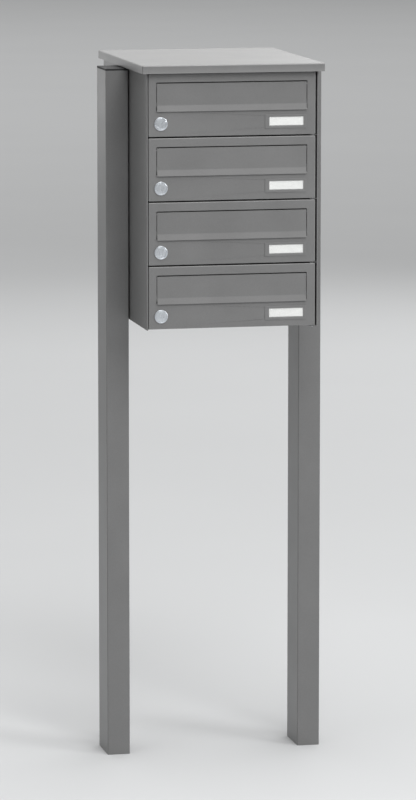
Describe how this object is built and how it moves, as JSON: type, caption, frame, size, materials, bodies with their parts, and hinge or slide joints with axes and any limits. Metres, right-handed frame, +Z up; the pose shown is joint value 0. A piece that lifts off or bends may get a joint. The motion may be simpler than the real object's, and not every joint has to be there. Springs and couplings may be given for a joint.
{
  "type": "cluster mailbox unit",
  "caption": "Free-standing column of stacked front-opening letter compartments with spring flaps, cam locks and name holders, under a rain lid, carried between rectangular ground posts.",
  "frame": {"origin": "on the ground, at the middle of the whole unit's footprint box", "axes": "+Z up along the posts, -Y out of the doors, +X to the right as seen from the front"},
  "size_m": [0.384, 0.397, 1.2285],
  "materials": {
    "powder_coat": "satin fine-texture powder coat, mid grey",
    "bright_steel": "plain drawn stainless steel",
    "zinc_plate": "dull zinc plating",
    "nickel": "satin nickel plated zinc casting",
    "black_plastic": "moulded polyethylene, fine grain",
    "white_card": "uncoated white card"
  },
  "bodies": {
    "housing": {"left_side_panel": "powder_coat", "right_side_panel": "powder_coat", "back_panel": "powder_coat", "floor_panel": "powder_coat", "top_panel": "powder_coat", "shelf_1": "powder_coat", "shelf_2": "powder_coat", "shelf_3": "powder_coat", "lid": "powder_coat", "lid_rails": "zinc_plate", "lid_screws": "bright_steel", "left_post": "powder_coat", "right_post": "powder_coat", "left_post_cap": "black_plastic", "right_post_cap": "black_plastic", "post_bolts": "bright_steel", "spacer_rings": "zinc_plate", "rivet_nuts": "zinc_plate", "hinge_rod": "bright_steel", "back_rivets": "bright_steel"},
    "door_1": {"door_1": "powder_coat", "flap_pin_1": "bright_steel", "flap_spring_1": "bright_steel", "lock_body_1": "nickel", "lock_nut_1": "zinc_plate", "name_holder_1": "powder_coat", "name_card_1": "white_card"},
    "flap_1": {"flap_1": "powder_coat"},
    "lock_1": {"lock_plug_1": "nickel", "lock_latch_1": "zinc_plate"},
    "door_2": {"door_2": "powder_coat", "flap_pin_2": "bright_steel", "flap_spring_2": "bright_steel", "lock_body_2": "nickel", "lock_nut_2": "zinc_plate", "name_holder_2": "powder_coat", "name_card_2": "white_card"},
    "flap_2": {"flap_2": "powder_coat"},
    "lock_2": {"lock_plug_2": "nickel", "lock_latch_2": "zinc_plate"},
    "door_3": {"door_3": "powder_coat", "flap_pin_3": "bright_steel", "flap_spring_3": "bright_steel", "lock_body_3": "nickel", "lock_nut_3": "zinc_plate", "name_holder_3": "powder_coat", "name_card_3": "white_card"},
    "flap_3": {"flap_3": "powder_coat"},
    "lock_3": {"lock_plug_3": "nickel", "lock_latch_3": "zinc_plate"},
    "door_4": {"door_4": "powder_coat", "flap_pin_4": "bright_steel", "flap_spring_4": "bright_steel", "lock_body_4": "nickel", "lock_nut_4": "zinc_plate", "name_holder_4": "powder_coat", "name_card_4": "white_card"},
    "flap_4": {"flap_4": "powder_coat"},
    "lock_4": {"lock_plug_4": "nickel", "lock_latch_4": "zinc_plate"}
  },
  "joints": [
    {"name": "door_1_swing", "type": "hinge", "parent": "housing", "child": "door_1", "pos_m": [0.141, -0.1835, 1.16], "axis": [0, 0, 1], "range_deg": [0, 100]},
    {"name": "flap_1_lift", "type": "hinge", "parent": "door_1", "child": "flap_1", "pos_m": [-0.00145, -0.1846, 1.1933], "axis": [-1, 0, 0], "range_deg": [0, 80], "stiffness_Nm_per_rad": 0.02, "springref_deg": -17.19},
    {"name": "lock_1_turn", "type": "hinge", "parent": "door_1", "child": "lock_1", "pos_m": [-0.1255, -0.1805, 1.1281], "axis": [0, -1, 0], "range_deg": [0, 90]},
    {"name": "door_2_swing", "type": "hinge", "parent": "housing", "child": "door_2", "pos_m": [0.141, -0.1835, 1.05], "axis": [0, 0, 1], "range_deg": [0, 100]},
    {"name": "flap_2_lift", "type": "hinge", "parent": "door_2", "child": "flap_2", "pos_m": [-0.00145, -0.1846, 1.0833], "axis": [-1, 0, 0], "range_deg": [0, 80], "stiffness_Nm_per_rad": 0.02, "springref_deg": -17.19},
    {"name": "lock_2_turn", "type": "hinge", "parent": "door_2", "child": "lock_2", "pos_m": [-0.1255, -0.1805, 1.0181], "axis": [0, -1, 0], "range_deg": [0, 90]},
    {"name": "door_3_swing", "type": "hinge", "parent": "housing", "child": "door_3", "pos_m": [0.141, -0.1835, 0.94], "axis": [0, 0, 1], "range_deg": [0, 100]},
    {"name": "flap_3_lift", "type": "hinge", "parent": "door_3", "child": "flap_3", "pos_m": [-0.00145, -0.1846, 0.9733], "axis": [-1, 0, 0], "range_deg": [0, 80], "stiffness_Nm_per_rad": 0.02, "springref_deg": -17.19},
    {"name": "lock_3_turn", "type": "hinge", "parent": "door_3", "child": "lock_3", "pos_m": [-0.1255, -0.1805, 0.9081], "axis": [0, -1, 0], "range_deg": [0, 90]},
    {"name": "door_4_swing", "type": "hinge", "parent": "housing", "child": "door_4", "pos_m": [0.141, -0.1835, 0.83], "axis": [0, 0, 1], "range_deg": [0, 100]},
    {"name": "flap_4_lift", "type": "hinge", "parent": "door_4", "child": "flap_4", "pos_m": [-0.00145, -0.1846, 0.8633], "axis": [-1, 0, 0], "range_deg": [0, 80], "stiffness_Nm_per_rad": 0.02, "springref_deg": -17.19},
    {"name": "lock_4_turn", "type": "hinge", "parent": "door_4", "child": "lock_4", "pos_m": [-0.1255, -0.1805, 0.7981], "axis": [0, -1, 0], "range_deg": [0, 90]}
  ]
}
